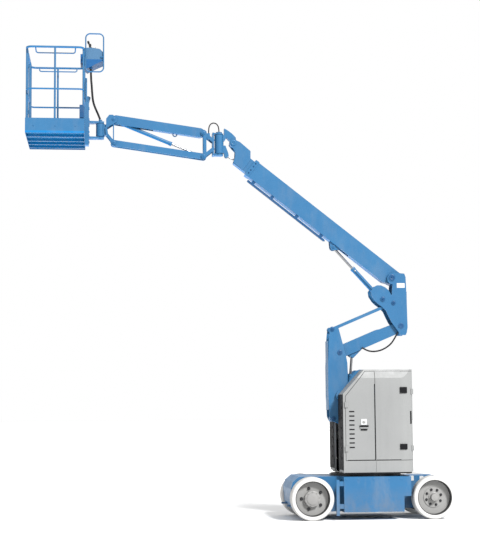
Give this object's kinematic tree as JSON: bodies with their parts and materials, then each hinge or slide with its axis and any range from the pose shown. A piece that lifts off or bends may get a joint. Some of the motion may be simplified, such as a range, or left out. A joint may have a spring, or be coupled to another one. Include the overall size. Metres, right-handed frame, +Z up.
{
  "type": "articulating boom lift",
  "caption": "Self-propelled articulating boom lift on a narrow wheeled chassis: slewing turntable, parallelogram riser, telescoping boom, slewing jib and a railed work platform.",
  "frame": {"origin": "on the ground under the slewing axis, midway between the axles", "axes": "+X towards the steered axle, +Y left, +Z up; the boom reaches towards -X in the rest pose"},
  "size_m": [5.5935, 1.19, 6.4739],
  "materials": {
    "blue_paint": "mid blue gloss enamel, slightly weathered",
    "dark_blue_trim": "darker blue enamel",
    "grey_paint": "light grey enamel",
    "dark_paint": "black enamel",
    "white_tyre": "white non-marking solid rubber",
    "cast_weight": "painted casting",
    "battery_case": "black case over dense contents",
    "grey_cover": "light grey moulded cover",
    "black_panel": "black moulded panel",
    "bright_rod": "chromed cylinder rod",
    "hose": "black rubber hose",
    "control_case": "light blue moulded case"
  },
  "bodies": {
    "chassis": {"chassis_frame": "blue_paint", "guard_posts": "blue_paint", "drive_hubs": "grey_paint", "steer_axle": "dark_paint", "slew_ring": "dark_paint"},
    "wheel_drive_right": {"tyre_drive_right": "white_tyre", "rim_drive_right": "grey_paint"},
    "wheel_drive_left": {"tyre_drive_left": "white_tyre", "rim_drive_left": "grey_paint"},
    "knuckle_right": {"steer_knuckle_right": "dark_paint"},
    "knuckle_left": {"steer_knuckle_left": "dark_paint"},
    "wheel_steer_right": {"tyre_steer_right": "white_tyre", "rim_steer_right": "grey_paint"},
    "wheel_steer_left": {"tyre_steer_left": "white_tyre", "rim_steer_left": "grey_paint"},
    "turntable": {"turntable_base": "dark_paint", "turntable_frame": "blue_paint", "counterweight": "cast_weight", "battery_packs": "battery_case", "power_unit": "battery_case", "cover_right": "grey_cover", "cover_left": "grey_cover", "end_panels": "black_panel"},
    "door_right_front": {"door_right_front": "grey_cover"},
    "door_left_front": {"door_left_front": "grey_cover"},
    "door_right_rear": {"door_right_rear": "grey_cover"},
    "door_left_rear": {"door_left_rear": "grey_cover"},
    "lower_arm": {"lower_arm": "blue_paint"},
    "lower_link": {"lower_link": "blue_paint"},
    "mid_upright": {"mid_upright": "blue_paint"},
    "upper_arm": {"upper_arm": "blue_paint", "hose_arm_loop": "hose"},
    "upper_link": {"upper_link": "blue_paint"},
    "rear_upright": {"rear_upright": "blue_paint"},
    "secondary_barrel": {"secondary_barrel": "blue_paint"},
    "secondary_rod": {"secondary_rod": "bright_rod"},
    "primary_boom": {"primary_boom": "blue_paint", "cable_carrier": "dark_blue_trim"},
    "lift_barrel": {"lift_barrel": "blue_paint"},
    "lift_rod": {"lift_rod": "bright_rod"},
    "boom_extension": {"boom_extension": "blue_paint"},
    "levelling_head": {"levelling_head": "blue_paint"},
    "slave_barrel": {"slave_barrel": "blue_paint"},
    "slave_rod": {"slave_rod": "bright_rod"},
    "jib_base": {"jib_base": "blue_paint", "elbow_hose": "hose"},
    "jib_upper_arm": {"jib_upper_arm": "blue_paint"},
    "jib_lower_arm": {"jib_lower_arm": "blue_paint"},
    "jib_barrel": {"jib_barrel": "blue_paint"},
    "jib_rod": {"jib_rod": "bright_rod"},
    "jib_head": {"jib_head": "blue_paint", "platform_rotator": "blue_paint"},
    "platform": {"platform_mount": "blue_paint", "platform_floor": "blue_paint", "platform_rails": "blue_paint", "control_box": "control_case", "control_guard": "blue_paint", "platform_cable": "hose"},
    "platform_gate": {"platform_gate": "blue_paint"}
  },
  "joints": [
    {"name": "drive_wheel_right_spin", "type": "hinge", "parent": "chassis", "child": "wheel_drive_right", "pos_m": [-0.8, -0.505, 0.2795], "axis": [0, 1, 0], "continuous": true},
    {"name": "drive_wheel_left_spin", "type": "hinge", "parent": "chassis", "child": "wheel_drive_left", "pos_m": [-0.8, 0.505, 0.2795], "axis": [0, 1, 0], "continuous": true},
    {"name": "steer_left", "type": "hinge", "parent": "chassis", "child": "knuckle_left", "pos_m": [0.8, 0.352, 0.2795], "axis": [0, 0, 1], "range_deg": [-40, 40]},
    {"name": "steer_right", "type": "hinge", "parent": "chassis", "child": "knuckle_right", "pos_m": [0.8, -0.352, 0.2795], "axis": [0, 0, 1], "range_deg": [-40, 40]},
    {"name": "steer_wheel_right_spin", "type": "hinge", "parent": "knuckle_right", "child": "wheel_steer_right", "pos_m": [0.8, -0.505, 0.2795], "axis": [0, 1, 0], "continuous": true},
    {"name": "steer_wheel_left_spin", "type": "hinge", "parent": "knuckle_left", "child": "wheel_steer_left", "pos_m": [0.8, 0.505, 0.2795], "axis": [0, 1, 0], "continuous": true},
    {"name": "turntable_slew", "type": "hinge", "parent": "chassis", "child": "turntable", "pos_m": [0, 0, 0.587], "axis": [0, 0, 1], "range_deg": [-179.5, 179.5]},
    {"name": "door_right_front_hinge", "type": "hinge", "parent": "turntable", "child": "door_right_front", "pos_m": [-0.352, -0.5415, 1.3], "axis": [0, 0, -1], "range_deg": [0, 100]},
    {"name": "door_left_front_hinge", "type": "hinge", "parent": "turntable", "child": "door_left_front", "pos_m": [-0.352, 0.5415, 1.3], "axis": [0, 0, 1], "range_deg": [0, 100]},
    {"name": "door_right_rear_hinge", "type": "hinge", "parent": "turntable", "child": "door_right_rear", "pos_m": [0.5625, -0.44075, 1.3], "axis": [0, 0, 1], "range_deg": [0, 100]},
    {"name": "door_left_rear_hinge", "type": "hinge", "parent": "turntable", "child": "door_left_rear", "pos_m": [0.5625, 0.44075, 1.3], "axis": [0, 0, -1], "range_deg": [0, 100]},
    {"name": "secondary_lift", "type": "hinge", "parent": "turntable", "child": "lower_arm", "pos_m": [0.499, 0, 1.26], "axis": [0, 1, 0], "range_deg": [-39.8, 32.1]},
    {"name": "lower_link_pivot", "type": "hinge", "parent": "turntable", "child": "lower_link", "pos_m": [0.4, 0, 0.95], "axis": [0, 1, 0], "range_deg": [-41.24, 33.54]},
    {"name": "mid_upright_pivot", "type": "hinge", "parent": "lower_arm", "child": "mid_upright", "pos_m": [-0.341, 0, 1.615], "axis": [0, 1, 0], "range_deg": [-33.54, 41.24]},
    {"name": "upper_arm_pivot", "type": "hinge", "parent": "mid_upright", "child": "upper_arm", "pos_m": [-0.341, 0, 2.185], "axis": [0, -1, 0], "range_deg": [-41.24, 33.54]},
    {"name": "upper_link_pivot", "type": "hinge", "parent": "mid_upright", "child": "upper_link", "pos_m": [-0.44, 0, 2.495], "axis": [0, -1, 0], "range_deg": [-41.24, 33.54]},
    {"name": "rear_upright_pivot", "type": "hinge", "parent": "upper_arm", "child": "rear_upright", "pos_m": [0.499, 0, 2.54], "axis": [0, -1, 0], "range_deg": [-33.54, 41.24]},
    {"name": "secondary_barrel_pivot", "type": "hinge", "parent": "lower_arm", "child": "secondary_barrel", "pos_m": [-0.23217, 0, 1.38445], "axis": [0, 1, 0], "range_deg": [-22.57, 27.75]},
    {"name": "secondary_rod_slide", "type": "slide", "parent": "secondary_barrel", "child": "secondary_rod", "axis": [0.0971, 0, 0.9953], "range_m": [-0.21218, 0.17191]},
    {"name": "primary_lift", "type": "hinge", "parent": "rear_upright", "child": "primary_boom", "pos_m": [0.386, 0, 3.193], "axis": [0, 1, 0], "range_deg": [-36, 32]},
    {"name": "lift_barrel_pivot", "type": "hinge", "parent": "rear_upright", "child": "lift_barrel", "pos_m": [0.255, 0, 2.9], "axis": [0, 1, 0], "range_deg": [-32.79, 29.28]},
    {"name": "lift_rod_slide", "type": "slide", "parent": "lift_barrel", "child": "lift_rod", "axis": [-0.6742, 0, 0.7385], "range_m": [-0.18677, 0.16647]},
    {"name": "boom_extend", "type": "slide", "parent": "primary_boom", "child": "boom_extension", "axis": [-0.7866, 0, 0.6174], "range_m": [0, 1.2]},
    {"name": "levelling_pivot", "type": "hinge", "parent": "boom_extension", "child": "levelling_head", "pos_m": [-1.74826, 0, 5.02338], "axis": [0, 1, 0], "range_deg": [-33.36, 37.36]},
    {"name": "slave_barrel_pivot", "type": "hinge", "parent": "boom_extension", "child": "slave_barrel", "pos_m": [-1.2802, 0, 4.58478], "axis": [0, 1, 0], "range_deg": [-0.78, 0.86]},
    {"name": "slave_rod_slide", "type": "slide", "parent": "slave_barrel", "child": "slave_rod", "axis": [-0.9031, 0, 0.4294], "range_m": [-0.10636, 0.11915]},
    {"name": "jib_slew", "type": "hinge", "parent": "levelling_head", "child": "jib_base", "pos_m": [-1.937, 0, 5], "axis": [0, 0, 1], "range_deg": [-90, 90]},
    {"name": "jib_lift", "type": "hinge", "parent": "jib_base", "child": "jib_upper_arm", "pos_m": [-2.15, 0, 5.154], "axis": [0, 1, 0], "range_deg": [-77.1, 61.9]},
    {"name": "jib_lower_pivot", "type": "hinge", "parent": "jib_base", "child": "jib_lower_arm", "pos_m": [-2.15, 0, 4.834], "axis": [0, 1, 0], "range_deg": [-79.88, 64.68]},
    {"name": "jib_head_pivot", "type": "hinge", "parent": "jib_upper_arm", "child": "jib_head", "pos_m": [-3.358, 0, 5.326], "axis": [0, 1, 0], "range_deg": [-64.68, 79.88]},
    {"name": "jib_barrel_pivot", "type": "hinge", "parent": "jib_upper_arm", "child": "jib_barrel", "pos_m": [-3.2918, 0, 5.29435], "axis": [0, 1, 0], "range_deg": [-4.43, 5.32]},
    {"name": "jib_rod_slide", "type": "slide", "parent": "jib_barrel", "child": "jib_rod", "axis": [0.9275, 0, -0.3739], "range_m": [-0.35489, 0.28572]},
    {"name": "platform_slew", "type": "hinge", "parent": "jib_head", "child": "platform", "pos_m": [-3.537, 0, 5.2], "axis": [0, 0, 1], "range_deg": [-90, 90]},
    {"name": "platform_gate_hinge", "type": "hinge", "parent": "platform", "child": "platform_gate", "pos_m": [-4.494, -0.3, 5.7], "axis": [0, 0, -1], "range_deg": [0, 90]}
  ],
  "couplings": [
    {"joint": "steer_right", "follows": "steer_left", "ratio": 1},
    {"joint": "lower_link_pivot", "follows": "secondary_lift", "ratio": 1},
    {"joint": "mid_upright_pivot", "follows": "secondary_lift", "ratio": -1},
    {"joint": "upper_arm_pivot", "follows": "secondary_lift", "ratio": 1},
    {"joint": "upper_link_pivot", "follows": "secondary_lift", "ratio": 1},
    {"joint": "rear_upright_pivot", "follows": "secondary_lift", "ratio": -1},
    {"joint": "secondary_barrel_pivot", "follows": "secondary_lift", "ratio": -0.67301},
    {"joint": "secondary_rod_slide", "follows": "secondary_lift", "m_per_rad": 0.2997},
    {"joint": "lift_barrel_pivot", "follows": "primary_lift", "ratio": 0.87778},
    {"joint": "lift_rod_slide", "follows": "primary_lift", "m_per_rad": 0.29089},
    {"joint": "levelling_pivot", "follows": "primary_lift", "ratio": -1},
    {"joint": "slave_barrel_pivot", "follows": "primary_lift", "ratio": -0.02},
    {"joint": "slave_rod_slide", "follows": "primary_lift", "m_per_rad": -0.18327},
    {"joint": "jib_lower_pivot", "follows": "jib_lift", "ratio": 1},
    {"joint": "jib_head_pivot", "follows": "jib_lift", "ratio": -1},
    {"joint": "jib_barrel_pivot", "follows": "jib_lift", "ratio": -0.05847},
    {"joint": "jib_rod_slide", "follows": "jib_lift", "m_per_rad": 0.26076}
  ]
}
